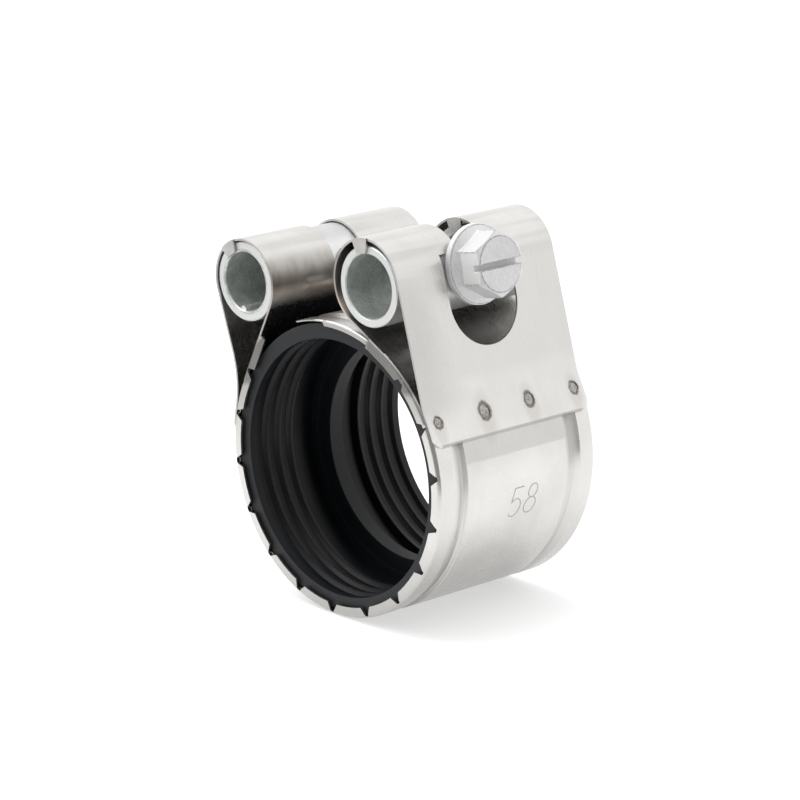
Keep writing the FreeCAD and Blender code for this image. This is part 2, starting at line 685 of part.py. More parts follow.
def make_bolt():
    body = new_body("clamp_bolt")
    turned = new_sketch(body, "turned_shape", "XZ_Plane")
    axis = draw_axis(turned, "lock_height")
    tip, shank = "seat_plane - bolt_length", "bolt_diameter / 2"
    line = [(tip, "0"), ("seat_plane + flange_rim + flange_cone", "0")]
    line += [("seat_plane + flange_rim + flange_cone", "hex_crown / 2")]
    line += [("seat_plane + flange_rim", "bolt_flange / 2")]
    line += [("seat_plane", "bolt_flange / 2"), ("seat_plane", shank)]
    line += [(tip + " + bolt_tip_chamfer", shank), (tip, shank + " - bolt_tip_chamfer")]
    draw(turned, [(across, "lock_height + " + up) for across, up in line])
    feature(body, "Revolution", "turned_bolt", turned, ReferenceAxis=axis).Angle = 360
    place = {"y": "lock_height", "z": "seat_plane + flange_rim / 2"}
    hexagon = new_sketch(body, "hexagon", "YZ_Plane", place)
    draw(hexagon, [polar("hex_corner", str(90 + 60 * number)) for number in range(6)])
    feature(body, "Pad", "hexagon_head", hexagon, Length="head_height - flange_rim / 2")
    crown = new_sketch(body, "crown_shape", "XZ_Plane")
    axis = draw_axis(crown, "lock_height")
    line = [("head_top", "hex_crown / 2"), ("head_top", "hex_flats")]
    line += [("head_top - crown_drop * 4", "hex_flats")]
    line += [("head_top - crown_drop", "hex_corner")]
    draw(crown, [(across, "lock_height + " + up) for across, up in line])
    feature(body, "Groove", "head_crown", crown, ReferenceAxis=axis).Angle = 360
    cut = new_sketch(body, "driver_slot_shape", "XZ_Plane")
    low, high = "lock_height - driver_slot / 2", "lock_height + driver_slot / 2"
    deep, past = "head_top - driver_depth", "head_top + driver_depth"
    draw(cut, [(deep, low), (past, low), (past, high), (deep, high)])
    feature(body, "Pocket", "driver_slot_cut", cut, Length="bolt_flange", Midplane=True)
    swing_up(body)


def hand_over():
    doc.recompute()
    for item in doc.Objects:
        faults = [word for word in item.State if word in ("Invalid", "Error")]
        if faults:
            raise RuntimeError("%s: %s" % (item.Name, item.getStatusString()))
    os.makedirs("parts", exist_ok=True)
    for body in doc.findObjects("PartDesign::Body"):
        shape = body.Shape
        if shape.isNull() or not shape.isValid() or len(shape.Solids) != 1:
            raise RuntimeError("%s has no single sound solid" % body.Label)
        shape.exportStep("parts/%s.step" % body.Label)
        print(body.Label, round(shape.Volume, 1), shape.BoundBox)


fill_sheet()
make_sleeve()
make_casing()
make_plate()
make_threaded_tube()
make_slotted_tube()
make_bolt()
hand_over()
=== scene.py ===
"""Finishes, bolt thread, weld marks, size numerals and studio for the no hub coupling."""

import math

import bmesh
import bpy
import numpy as np
from mathutils import Matrix, Vector


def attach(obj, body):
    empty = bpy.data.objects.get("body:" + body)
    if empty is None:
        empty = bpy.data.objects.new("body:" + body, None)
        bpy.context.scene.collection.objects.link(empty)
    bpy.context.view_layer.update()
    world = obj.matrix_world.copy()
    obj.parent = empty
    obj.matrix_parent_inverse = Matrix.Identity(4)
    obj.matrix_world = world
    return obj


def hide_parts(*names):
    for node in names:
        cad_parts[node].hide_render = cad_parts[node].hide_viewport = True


bl_info = {
    "name": "No Hub Coupling",
    "version": (1, 0, 0),
    "blender": (4, 5, 0),
    "location": "3D View > Sidebar > Coupling",
    "description": "Dresses the coupling's sheet steel, rubber, tubes and bolt, and sets its studio",
    "category": "Object",
}

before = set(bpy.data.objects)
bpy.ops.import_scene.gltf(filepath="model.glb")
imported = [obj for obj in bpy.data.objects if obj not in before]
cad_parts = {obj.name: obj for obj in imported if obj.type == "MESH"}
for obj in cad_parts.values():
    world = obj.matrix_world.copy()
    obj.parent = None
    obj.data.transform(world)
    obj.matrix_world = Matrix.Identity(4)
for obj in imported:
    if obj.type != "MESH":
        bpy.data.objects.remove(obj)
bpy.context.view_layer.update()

# Places in metres: the middle of the width, the axes of the two tubes, and the bolt's rise from level.
HALF_WIDTH = 0.0229
LOCK_HEIGHT = 0.0412
LEFT_TUBE_X = -0.0239
RIGHT_TUBE_X = 0.0171
BOLT_RISE = math.radians(1.6)

# Along the pipe from one spot weld to the next, and from a tube's axis to the seam bead in its bore.
WELD_STEP = 0.0138
BEAD_REACH = 0.0066

# From the bolt's axis to its shank's faces, its end face's edge, its driver slot's edge and its flange's rim.
SHANK_REACH = 0.00402
CROWN_REACH = 0.00612
SLOT_REACH = 0.00078
RIM_REACH = 0.0086

# How metallic the plating is, and the angle from which an edge of the bolt's head counts as sharp.
TUBE_METAL = 0.72
BOLT_METAL = 0.12
SHARP_ANGLE = math.radians(28.0)

# From the threaded tube's axis to just inside the flange's under side, how far the head's edges are worn, and
# how near two points of a made mesh, or of the bolt's own, are when they count as one.
SEAT_RUN = 0.0506
EDGE_WEAR = 0.00016
SAME_POINT = 0.0000002
SAME_BOLT_POINT = 0.000001

# Colours that the sheet and the plating take in places: the loop brown, seat grey and pad-line grey are
# painted shade, the loop tan a painted lift of light and the bead white a painted highlight.
LOOP_SHADE_BROWN = (0.29, 0.26, 0.23)
LOOP_LIGHT_TAN = (0.66, 0.57, 0.48)
SEAT_SHADE_GREY = (0.085, 0.080, 0.074)
PAD_SHADOW_GREY = (0.12, 0.115, 0.11)
WELD_HALO = (0.40, 0.37, 0.33)
WELD_HEART = (0.22, 0.21, 0.19)
WELD_RING = (0.075, 0.066, 0.056)
PIT_WHITE = (0.92, 0.94, 0.92)
BEAD_HIGHLIGHT_WHITE = (0.92, 0.93, 0.91)
WORN_GREY = (0.17, 0.17, 0.17)
WHITE = (1.0, 1.0, 1.0)


def new_mesh(name, points, faces):
    """A mesh from whole arrays of points and faces."""
    mesh = bpy.data.meshes.new(name)
    mesh.from_pydata(points.reshape(-1, 3).tolist(), [], faces.tolist())
    return mesh


def new_object(name, data):
    """An object that shows the given data, linked into the scene."""
    made = bpy.data.objects.new(name, data)
    bpy.context.scene.collection.objects.link(made)
    return made


def on_shape(name, points, body, finish, closed=False):
    """Makes a piece from a grid of points, in place in its mesh, and lets it ride on a body."""
    faces = grid_faces(points.shape[0], points.shape[1], closed)
    return on_body(name, new_mesh(name, points, faces), body, finish)


def on_body(name, mesh, body, finish):
    """Welds a mesh's doubled points, gives it its finish and lets it ride on a body."""
    work = bmesh.new()
    work.from_mesh(mesh)
    bmesh.ops.remove_doubles(work, verts=work.verts, dist=SAME_POINT)
    work.to_mesh(mesh)
    work.free()
    mesh.shade_smooth()
    mesh.materials.append(finish)
    piece = new_object(name, mesh)
    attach(piece, body)
    return piece


def grid_faces(rows, columns, closed=False):
    """Quads between neighbours in a grid of rows by columns of points, its columns joined round if closed."""
    i = np.arange(rows - 1)
    j = np.arange(columns if closed else columns - 1)
    i, j = np.meshgrid(i, j, indexing="ij")
    down, across = i + 1, (j + 1) % columns
    corners = [i * columns + j, i * columns + across, down * columns + across, down * columns + j]
    return np.stack(corners, axis=-1).reshape(-1, 4)


class Signal:
    """A shader socket that can be reckoned with: each operator adds its Math node."""

    def __init__(self, finish, socket):
        self.finish = finish
        self.socket = socket

    def reckon(self, operation, *values):
        made = self.finish.node("Math", {"operation": operation}, dict(enumerate(values)))
        return Signal(self.finish, made.outputs[0])

    def __add__(self, other):
        return self.reckon("ADD", self, other)

    def __radd__(self, other):
        return self.reckon("ADD", other, self)

    def __sub__(self, other):
        return self.reckon("SUBTRACT", self, other)

    def __rsub__(self, other):
        return self.reckon("SUBTRACT", other, self)

    def __mul__(self, other):
        return self.reckon("MULTIPLY", self, other)

    def __rmul__(self, other):
        return self.reckon("MULTIPLY", other, self)

    def __truediv__(self, other):
        return self.reckon("DIVIDE", self, other)

    def __abs__(self):
        return self.reckon("ABSOLUTE", self)

    def root(self):
        return self.reckon("SQRT", self)

    def floor(self):
        return self.reckon("FLOOR", self)

    def sine(self):
        return self.reckon("SINE", self)

    def least(self, other):
        return self.reckon("MINIMUM", self, other)

    def most(self, other):
        return self.reckon("MAXIMUM", self, other)

    def between(self, low, high):
        """0 at low, 1 at high, and smooth between them."""
        made = self.finish.node(
            "MapRange",
            {"interpolation_type": "SMOOTHSTEP"},
            {"Value": self, "From Min": low, "From Max": high, "To Min": 0.0, "To Max": 1.0},
        )
        return Signal(self.finish, made.outputs[0])

    def below(self, low, high):
        """1 at low, 0 at high, and smooth between them."""
        return 1.0 - self.between(low, high)

    def patchy(self):
        """The middle of a noise's range drawn out to patches of 0 and 1."""
        return self.between(0.35, 0.65)


class Finish:
    """One material or world, and the one way in which nodes are put into it."""

    def __init__(self, owner):
        self.owner = owner
        owner.use_nodes = True
        self.tree = owner.node_tree
        self.tree.nodes.clear()

    def node(self, kind, settings=None, sockets=None):
        """Adds a node: first its settings, then the values or links of its sockets."""
        made = self.tree.nodes.new("ShaderNode" + kind)
        for name, value in (settings or {}).items():
            setattr(made, name, value)
        for name, value in (sockets or {}).items():
            if isinstance(value, Signal):
                self.tree.links.new(value.socket, made.inputs[name])
            elif isinstance(value, bpy.types.NodeSocket):
                self.tree.links.new(value, made.inputs[name])
            else:
                made.inputs[name].default_value = value
        return made

    def place(self):
        """The point on the object, in metres."""
        return self.node("TexCoord").outputs["Object"]

    def axes(self, place):
        """The three coordinates of a point, each as a signal."""
        parts = self.node("SeparateXYZ", None, {0: place})
        return [Signal(self, out) for out in parts.outputs]

    def stretched(self, place, scale):
        """The point scaled along each axis, for a pattern that is drawn out one way."""
        return self.node("Mapping", None, {"Vector": place, "Scale": scale}).outputs[0]

    def noise(self, place, scale, detail=2.0, roughness=0.5):
        made = self.node(
            "TexNoise", {"noise_dimensions": "3D"},
            {"Vector": place, "Scale": scale, "Detail": detail, "Roughness": roughness},
        )
        return Signal(self, made.outputs["Fac"])

    def blend(self, factor, first, second):
        """A colour between two colours."""
        made = self.node("Mix", {"data_type": "RGBA"}, {0: factor, 6: first, 7: second})
        return made.outputs[2]

    def bump(self, height, distance, strength=1.0, under=None):
        sockets = {"Height": height, "Distance": distance, "Strength": strength}
        if under is not None:
            sockets["Normal"] = under
        return self.node("Bump", None, sockets).outputs[0]

    def surface(self, **sockets):
        """The closing surface shader; its uniform values sit on its own sockets."""
        named = {name.replace("_", " "): value for name, value in sockets.items()}
        made = self.node("BsdfPrincipled", None, named)
        self.node("OutputMaterial", None, {"Surface": made.outputs[0]})
        return self.owner


def colour(shade):
    """A shade with full alpha, as a shader socket takes it."""
    return (*shade[:3], 1.0)


def toned(shade, factor):
    """A shade made darker or lighter by a factor, at most up to full light."""
    return colour([min(1.0, factor * part) for part in shade])


def distance(first, second):
    """How far a point with these two coordinates lies from their origin."""
    return (first * first + second * second).root()


def rolled_steel(name, settings, welds=False):
    """Rolled stainless sheet: streaks drawn out along the strip, faint smears, brown painted reflection and a
    tan painted lift of light in the loops, and the band's own marks where it is welded."""
    steel = Finish(bpy.data.materials.new(name))
    base = settings.steel_colour
    place = steel.place()
    x, y, z = steel.axes(place)
    ring = distance(x, z)
    streak = steel.noise(steel.stretched(place, (30.0, 1500.0, 30.0)), 1.0, 2.0)
    fine = steel.noise(steel.stretched(place, (120.0, 5000.0, 120.0)), 1.0, 1.0)
    smear = steel.noise(steel.stretched(place, (110.0, 260.0, 90.0)), 1.0, 4.0, 0.6)
    cloud = steel.noise(place, 60.0, 3.0)
    mottle = (streak - 0.5) * 0.14 + (smear - 0.5) * 0.4 + (cloud - 0.5) * 1.3 + 0.5
    shade = steel.blend(mottle.between(0.1, 0.9), toned(base, 0.90), toned(base, 1.04))

    # Painted shade: darker reflections painted on the front of the legs, the underside of the band and the
    # legs' outer sides.
    front = y.below(0.002, 0.017) * z.below(0.040, 0.047) * z.between(0.008, 0.016)
    low = z.below(-0.034, -0.010)
    leg = ring.between(0.0350, 0.0365) * z.below(0.042, 0.048) * z.between(0.007, 0.010)
    painted_shade = (front * 0.26).most(low * 0.38).most(leg * (0.05 + 0.11 * cloud.patchy()))
    shade = steel.blend(painted_shade, shade, toned(base, 0.30))

    # Painted reflection: brown painted shade on the sides that face the gap, a tan painted lift of light in
    # its depth, and painted bands of darker reflection round the loops.
    hollow = x.between(-0.0164, -0.0142) * x.below(0.0085, 0.0105) * ring.between(0.0338, 0.0350)
    deep = hollow * z.below(0.0370, 0.0410)
    shade = steel.blend(hollow * (0.55 + 0.3 * smear.patchy()), shade, colour(LOOP_SHADE_BROWN))
    shade = steel.blend(deep * (0.45 + 0.5 * cloud.patchy()), shade, colour(LOOP_LIGHT_TAN))
    reflection_bands = steel.noise(steel.stretched(place, (330.0, 22.0, 330.0)), 1.0, 1.0).patchy()
    shade = steel.blend(reflection_bands * z.between(0.041, 0.044) * 0.22, shade, toned(base, 0.45))

    # A dent low on the left loop that catches light, and painted shade on the band under the legs.
    dent_y = (y - 0.0125) / 0.0065 + (smear - 0.5)
    dent_z = (z - 0.0385) / 0.0026 + (cloud - 0.5) * 1.5
    dent = distance(dent_y, dent_z).below(0.15, 1.0)
    seat = ring.below(0.0345, 0.0350) * z.between(0.0170, 0.0190) * abs(x).between(0.0135, 0.0160)
    shade = steel.blend(seat * (0.42 + 0.4 * smear), shade, colour(SEAT_SHADE_GREY))

    rough = settings.steel_roughness + (smear - 0.5) * 0.10 + (cloud - 0.5) * 0.06 + (fine - 0.5) * 0.02
    rough = rough + hollow * 0.08
    metal = 1.0 - hollow * 0.08 - deep * (0.60 + 0.1 * dent)
    normal = steel.bump(streak * 0.6 + fine * 0.4, 0.000003, 0.25)
    normal = steel.bump(smear * 0.3 + cloud * 0.7, 0.00010, 0.3, normal)
    normal = steel.bump(dent * hollow, 0.0005, 0.8, normal)
    if welds:
        shade, metal, rough, normal = band_marks(steel, settings, smear, shade, metal, rough, normal)
    return steel.surface(Base_Color=shade, Metallic=metal, Roughness=rough, Normal=normal)


def band_marks(steel, settings, smear, shade, metal, rough, normal):
    """What the band has besides: a darker strip below its pads, grooves with painted streaks of shade, a
    painted shadow line under each pad's edge, and spot welds, each a grey heart in a burnt ring with a halo."""
    base = settings.steel_colour
    place = steel.place()
    x, y, z = steel.axes(place)
    ring, span, flank = distance(x, z), abs(y - HALF_WIDTH), abs(x)

    # A darker strip on the band below each pad.
    level = z + (smear - 0.5) * 0.0006
    darker_strip = level.between(0.0012, 0.0017) * level.below(0.0060, 0.0066)
    darker_strip = darker_strip * span.below(0.0149, 0.0153) * flank.between(0.032, 0.0325)
    shade = steel.blend(darker_strip * 0.5, shade, toned(base, 0.66))

    # Painted shade: darker streaks painted in the grooves below the pads.
    on_band = ring.below(0.0342, 0.0348) * z.below(0.0064, 0.0072)
    groove = span.between(0.0148, 0.0156) * span.below(0.0166, 0.0190) * on_band
    streaks = steel.noise(steel.stretched(place, (22.0, 1400.0, 22.0)), 1.0, 2.0)
    shade = steel.blend(groove * (0.05 + 0.5 * streaks.between(0.50, 0.75)), shade, toned(base, 0.5))
    under = groove * z.between(-0.006, 0.002)
    rough = rough + groove * 0.10 + under * 0.15
    metal = metal - under * 0.60

    # Painted shadow: a dark line painted on the band under each pad's edge.
    pad_shadow = z.between(0.0060, 0.0064) * z.below(0.0068, 0.0072) * ring.below(0.0342, 0.0346)
    pad_shadow = pad_shadow * flank.between(0.0300, 0.0305) * span.below(0.0212, 0.0218)
    shade = steel.blend(pad_shadow * 0.45, shade, colour(PAD_SHADOW_GREY))

    # Each weld's own size comes from its number along the pipe.
    number = ((y - HALF_WIDTH + WELD_STEP) / WELD_STEP).floor()
    size = settings.weld_radius * (1.12 + 0.22 * (number * 2.4 + 0.8).sine())
    along = abs(span - settings.weld_outer).least(abs(span - settings.weld_inner))
    along = along + (steel.noise(place, 900.0, 1.0) - 0.5) * 0.0007
    height = (z - settings.weld_height) * 0.84 + (steel.noise(place, 1100.0, 1.0) - 0.5) * 0.0006
    drop = height + 0.0009
    spot = distance(along, height) / size
    tail = (drop * drop * 0.30 + along * along).root() / size
    grain = steel.noise(place, 2200.0, 3.0, 0.7)
    side = flank.between(0.026, 0.028)
    burnt = abs(spot - 0.88).below(0.05, 0.34) * side * (0.25 + 1.3 * grain).least(1.0)
    heart = spot.below(0.6, 0.95) * side
    halo = tail.below(0.8, 2.0) * side
    shade = steel.blend(halo * 0.30, shade, colour(WELD_HALO))
    shade = steel.blend(heart * (0.25 + 0.75 * grain.patchy()), shade, colour(WELD_HEART))
    shade = steel.blend(burnt * 0.80, shade, colour(WELD_RING))
    rough = rough + burnt * 0.15 + heart * 0.12
    normal = steel.bump(grain * heart * 0.6 + burnt * 0.6, 0.00009, 0.8, normal)
    return shade, metal, rough, normal


def moulded_rubber(settings):
    """Moulded black rubber: satin skin, fine grain, paler dusty end faces and web bore, faint flow marks, and
    painted highlights on the rib crests and in thin rings.
    """
    rubber = Finish(bpy.data.materials.new("moulded_rubber"))
    base, dust = settings.rubber_colour, settings.rubber_dust
    place = rubber.place()
    x, y, z = rubber.axes(place)
    ring = distance(x, z)
    grain = rubber.noise(place, 1800.0, 3.0, 0.6)
    cloud = rubber.noise(place, 120.0, 4.0, 0.6)
    flow = rubber.noise(rubber.stretched(place, (60.0, 900.0, 60.0)), 1.0, 2.0)
    ends = y.below(0.00012, 0.00022).most(y.between(0.04558, 0.04568)) * ring.between(0.0291, 0.0293)
    bore = ring.below(0.02558, 0.02570) * 0.8
    dusty = ends.most(bore)
    # Painted highlights: paler rib crests and thin pale rings round the sleeve.
    crest = ring.below(0.02924, 0.02940) * ring.between(0.0288, 0.0290)
    specks = rubber.noise(place, 3000.0, 1.0).between(0.74, 0.78)
    line = rubber.noise(rubber.stretched(place, (25.0, 2500.0, 25.0)), 1.0, 2.0).between(0.55, 0.80)
    shade = rubber.blend(cloud * 0.7 + grain * 0.3, colour(base), toned(base, 1.6))
    shade = rubber.blend((crest * 0.30).most(line * 0.45), shade, colour(dust))
    shade = rubber.blend(dusty, shade, colour(dust))
    shade = rubber.blend(specks * 0.5, shade, toned(dust, 4.0))
    rough = settings.rubber_roughness + (cloud - 0.5) * 0.16 + (flow - 0.5) * 0.08 + dusty * 0.15
    rough = rough - line * (1.0 - dusty) * 0.10
    normal = rubber.bump(grain * 0.5 + flow * 0.5, 0.00004, 0.25)
    return rubber.surface(Base_Color=shade, Roughness=rough, Normal=normal, Specular_IOR_Level=0.22)


def plated_zinc(name, settings, metal, axis_x=None, bead_angle=None):
    """Grainy zinc plate: with a tube's marks where the tube's axis is given, and its seam bead where that has
    an angle, and otherwise with the bolt's marks."""
    zinc = Finish(bpy.data.materials.new(name))
    base = settings.zinc_colour
    place = zinc.place()
    grain = zinc.noise(place, 1500.0, 4.0, 0.65)
    speckle = zinc.noise(place, 4200.0, 2.0, 0.6)
    cloud = zinc.noise(place, 160.0, 3.0, 0.55)
    lumps = zinc.noise(place, 520.0, 2.0, 0.6)
    shade = zinc.blend((grain * 0.5 + cloud * 0.5).between(0.3, 0.7), toned(base, 0.88), toned(base, 1.08))
    rough = settings.zinc_roughness + (grain - 0.5) * 0.25 + (cloud - 0.5) * 0.12
    if axis_x is None:
        shade = bolt_marks(zinc, settings, grain, shade)
    else:
        shade, rough = tube_marks(zinc, settings, grain, speckle, shade, rough, axis_x, bead_angle)
    normal = zinc.bump(grain * 0.7 + speckle * 0.3, 0.00006, 0.6)
    normal = zinc.bump(lumps, 0.00022, 0.5, normal)
    return zinc.surface(Base_Color=shade, Metallic=metal, Roughness=rough, Normal=normal)


def tube_marks(zinc, settings, grain, speckle, shade, rough, axis_x, bead_angle):
    """A tube's pale cut ends, painted shade on its top between the loops, its darker and greener bore with
    pale pits, and the speckled bead of a seam in the bore, its pale speckles a painted highlight."""
    base = settings.zinc_colour
    place = zinc.place()
    x, y, z = zinc.axes(place)
    span = abs(y - HALF_WIDTH)
    ends = span.between(0.0230, 0.0231)
    shade = zinc.blend(ends * 0.8, shade, toned(base, 1.04))
    # Painted shade on the tube's top between the loops.
    middle = span.below(0.0060, 0.0085) * z.between(0.046, 0.049)
    shade = zinc.blend(middle * 0.75, shade, toned(base, 0.60))

    across, up = x - axis_x, z - LOCK_HEIGHT
    inside = distance(across, up).below(0.0073, 0.0076)
    patch = zinc.noise(place, 420.0, 4.0, 0.7).patchy()
    shade = zinc.blend(inside * (0.35 + 0.65 * patch), shade, colour(settings.bore_colour))
    pits = speckle.between(0.53, 0.63) * zinc.noise(place, 230.0, 2.0).between(0.44, 0.58) * inside
    shade = zinc.blend(pits * 0.8, shade, colour(PIT_WHITE))
    rough = rough + inside * 0.08
    # The seam bead's pale speckles are a painted highlight on it.
    if bead_angle is not None:
        off_x = across - BEAD_REACH * math.cos(bead_angle)
        off_z = up - BEAD_REACH * math.sin(bead_angle)
        bead = distance(off_x, off_z).below(0.0007, 0.0012) * inside
        shade = zinc.blend(bead * grain.between(0.40, 0.60), shade, colour(BEAD_HIGHLIGHT_WHITE))
    return shade, rough


def bolt_marks(zinc, settings, grain, shade):
    """The bolt's upper flats in painted shade and its side flats in painted light, edges worn dark, and
    painted shade in the roots of its thread, all drawn in the bolt's own directions: along it, across it and
    up from it."""
    base = settings.zinc_colour
    x, y, z = zinc.axes(zinc.place())
    run, rise, across = x - LEFT_TUBE_X, z - LOCK_HEIGHT, y - HALF_WIDTH
    along = run * math.cos(BOLT_RISE) + rise * math.sin(BOLT_RISE)
    up = rise * math.cos(BOLT_RISE) - run * math.sin(BOLT_RISE)
    reach = distance(across, up)

    # Distances to the three pairs of flats; on a corner two of them are full, so the middle one is.
    flats = [abs(across), abs(across * 0.5 + up * 0.866), abs(across * 0.5 - up * 0.866)]
    middle = flats[0].least(flats[1]).most(flats[0].most(flats[1]).least(flats[2]))
    # Painted shade on the upper flats and painted light on the side flats.
    head = along.between(0.0529, 0.0532) * reach.below(0.0076, 0.0078)
    lid_shade = flats[1].most(flats[2]).between(0.0061, 0.0064) * up.between(0.0, 0.001) * head
    cheek_light = flats[0].between(0.0061, 0.0064) * head
    shade = zinc.blend(lid_shade * 0.45, shade, toned(base, 0.62))
    shade = zinc.blend(cheek_light * 0.9, shade, toned(base, 1.30))

    corner = middle.between(0.00600, 0.00630) * head * 0.45
    crown = abs(reach - CROWN_REACH).below(0.00005, 0.00020) * along.between(0.0577, 0.0581)
    slot = abs(abs(up) - SLOT_REACH).below(0.00003, 0.00014) * along.between(0.0581, 0.0583)
    rim = abs(reach - RIM_REACH).below(0.00003, 0.00015) * along.below(0.0530, 0.0532)
    worn = corner.most(crown * 0.8).most(slot * 0.8).most(rim * 0.7) * grain.between(0.35, 0.55)
    shade = zinc.blend(worn, shade, colour(WORN_GREY))

    shank = reach.below(0.00405, 0.0041)
    # Painted shade in the roots of the thread.
    root = shank * reach.below(0.0034, 0.0038) * along.below(0.0500, 0.0502)
    return zinc.blend(root * 0.6, shade, toned(base, 0.35))


class CouplingFinish(bpy.types.PropertyGroup):
    """Colours and gloss of the coupling's materials."""

    steel_colour: bpy.props.FloatVectorProperty(
        name="Steel", description="Colour of the rolled sheet", subtype="COLOR",
        default=(0.665, 0.651, 0.630), min=0.0, max=1.0)
    steel_roughness: bpy.props.FloatProperty(
        name="Steel roughness", description="How soft reflections on the sheet are",
        subtype="FACTOR", default=0.27, min=0.05, max=1.0)
    zinc_colour: bpy.props.FloatVectorProperty(
        name="Zinc", description="Colour of the plated tubes and bolt", subtype="COLOR",
        default=(0.735, 0.74, 0.735), min=0.0, max=1.0)
    zinc_roughness: bpy.props.FloatProperty(
        name="Zinc roughness", description="How soft reflections on the plating are",
        subtype="FACTOR", default=0.44, min=0.05, max=1.0)
    bore_colour: bpy.props.FloatVectorProperty(
        name="Tube bore", description="Colour of the plating inside the tubes", subtype="COLOR",
        default=(0.47, 0.51, 0.475), min=0.0, max=1.0)
    rubber_colour: bpy.props.FloatVectorProperty(
        name="Rubber", description="Colour of the sleeve", subtype="COLOR",
        default=(0.0026, 0.0031, 0.0044), min=0.0, max=1.0)
    rubber_dust: bpy.props.FloatVectorProperty(
        name="Rubber ends", description="Colour of the sleeve's flat ends and web bore", subtype="COLOR",
        default=(0.026, 0.027, 0.029), min=0.0, max=1.0)
    rubber_roughness: bpy.props.FloatProperty(
        name="Rubber roughness", description="How soft reflections on the rubber are",
        subtype="FACTOR", default=0.36, min=0.05, max=1.0)
    weld_outer: bpy.props.FloatProperty(
        name="Outer welds", description="Outer spot welds' distance from mid-width", unit="LENGTH",
        default=0.0207, min=0.0)
    weld_inner: bpy.props.FloatProperty(
        name="Inner welds", description="Inner spot welds' distance from mid-width", unit="LENGTH",
        default=0.0068, min=0.0)
    weld_height: bpy.props.FloatProperty(
        name="Weld height", description="Spot welds' height above the pipe's axis", unit="LENGTH",
        default=0.01166, min=0.0)
    weld_radius: bpy.props.FloatProperty(
        name="Weld radius", description="Radius of a spot weld's dark ring", unit="LENGTH",
        default=0.00135, min=0.0001)


class CouplingMarks(bpy.types.PropertyGroup):
    """Sizes of the numerals and of the bolt's thread."""

    numeral_height: bpy.props.FloatProperty(
        name="Numeral height", description="Height of the numerals on the band", unit="LENGTH",
        default=0.0066, min=0.001)
    numeral_left: bpy.props.FloatProperty(
        name="Numeral start", description="Left end of the numerals along the pipe", unit="LENGTH",
        default=0.0200)
    numeral_step: bpy.props.FloatProperty(
        name="Numeral step", description="Distance from one numeral to the next", unit="LENGTH",
        default=0.0047, min=0.0)
    numeral_slant: bpy.props.FloatProperty(
        name="Slant", description="Sideways lean of a numeral for its height", default=0.22)
    band_radius: bpy.props.FloatProperty(
        name="Band radius", description="Outer radius of the raised band", unit="LENGTH", default=0.0336)
    numeral_angle: bpy.props.FloatProperty(
        name="Numeral angle", description="Angle of the numerals' middle below the pipe's side",
        subtype="ANGLE", default=math.radians(-17.2))
    stroke_width: bpy.props.FloatProperty(
        name="Stroke", description="Width of an engraved stroke", unit="LENGTH", default=0.00026, min=0.00005)
    thread_pitch: bpy.props.FloatProperty(
        name="Thread pitch", description="Distance from one thread to the next", unit="LENGTH",
        default=0.00125, min=0.0005)
    thread_depth: bpy.props.FloatProperty(
        name="Thread depth", description="Depth of the thread", unit="LENGTH", default=0.00062, min=0.0001)
    thread_start: bpy.props.FloatProperty(
        name="Thread start", description="The bolt's tip, measured from the threaded tube's axis",
        unit="LENGTH", default=-0.0047)
    shank_radius: bpy.props.FloatProperty(
        name="Shank radius", description="Radius of the shank and of the thread's crests", unit="LENGTH",
        default=0.00399, min=0.001)
    head_seat: bpy.props.FloatProperty(
        name="Head seat", description="Under side of the flange, measured from the threaded tube's axis",
        unit="LENGTH", default=0.0503)
    thread_end: bpy.props.FloatProperty(
        name="Thread end", description="Length of the threaded end from the threaded tube's axis",
        unit="LENGTH", default=0.0384)


class CouplingStudio(bpy.types.PropertyGroup):
    """Camera, floor and light."""

    lens: bpy.props.FloatProperty(
        name="Lens", description="Focal length of the camera", subtype="DISTANCE_CAMERA",
        default=168.47, min=1.0)
    floor_tilt: bpy.props.FloatProperty(
        name="Floor tilt", description="How far the coupling is rolled on its round side", subtype="ANGLE",
        default=math.radians(8.6))
    floor_drop: bpy.props.FloatProperty(
        name="Floor", description="Distance of the floor from the pipe's axis", unit="LENGTH", default=0.0337)
    floor_shade: bpy.props.FloatProperty(
        name="Floor shade", description="How much light the floor throws back", subtype="FACTOR",
        default=0.60, min=0.0, max=1.0)
    floor_glow: bpy.props.FloatProperty(
        name="Floor glow", description="Light of the floor's own, which keeps shadows pale",
        default=0.49, min=0.0)
    sky: bpy.props.FloatProperty(
        name="Sky", description="Brightness of the white surroundings", default=1.24, min=0.0)
    dark_side: bpy.props.FloatProperty(
        name="Dark side", description="How much darker the room is towards the camera", subtype="FACTOR",
        default=0.75, min=0.0, max=1.0)
    lamp: bpy.props.FloatProperty(
        name="Lamp", description="Power of the large soft lamp", unit="POWER", default=5.0, min=0.0)


class COUPLING_OT_casing(bpy.types.Operator):
    """Gives the rolled band, its legs and the bridge plate their rolled steel and heat tint"""

    bl_idname = "coupling.casing"
    bl_label = "Band and plate"

    def execute(self, context):
        settings = context.scene.coupling_finish
        dress("casing", rolled_steel("band_rolled_steel", settings, welds=True))
        dress("bridge_plate", rolled_steel("plate_rolled_steel", settings))
        return {"FINISHED"}


class COUPLING_OT_sleeve(bpy.types.Operator):
    """Gives the sealing sleeve its moulded rubber"""

    bl_idname = "coupling.sleeve"
    bl_label = "Sealing sleeve"

    def execute(self, context):
        dress("sealing_sleeve", moulded_rubber(context.scene.coupling_finish))
        return {"FINISHED"}


class COUPLING_OT_tubes(bpy.types.Operator):
    """Gives the two cross tubes their zinc plating"""

    bl_idname = "coupling.tubes"
    bl_label = "Cross tubes"

    def execute(self, context):
        settings = context.scene.coupling_finish
        bead = math.radians(250.0)
        dress("threaded_tube", plated_zinc("threaded_tube_zinc", settings, TUBE_METAL, LEFT_TUBE_X, bead))
        dress("slotted_tube", plated_zinc("slotted_tube_zinc", settings, TUBE_METAL, RIGHT_TUBE_X))
        return {"FINISHED"}


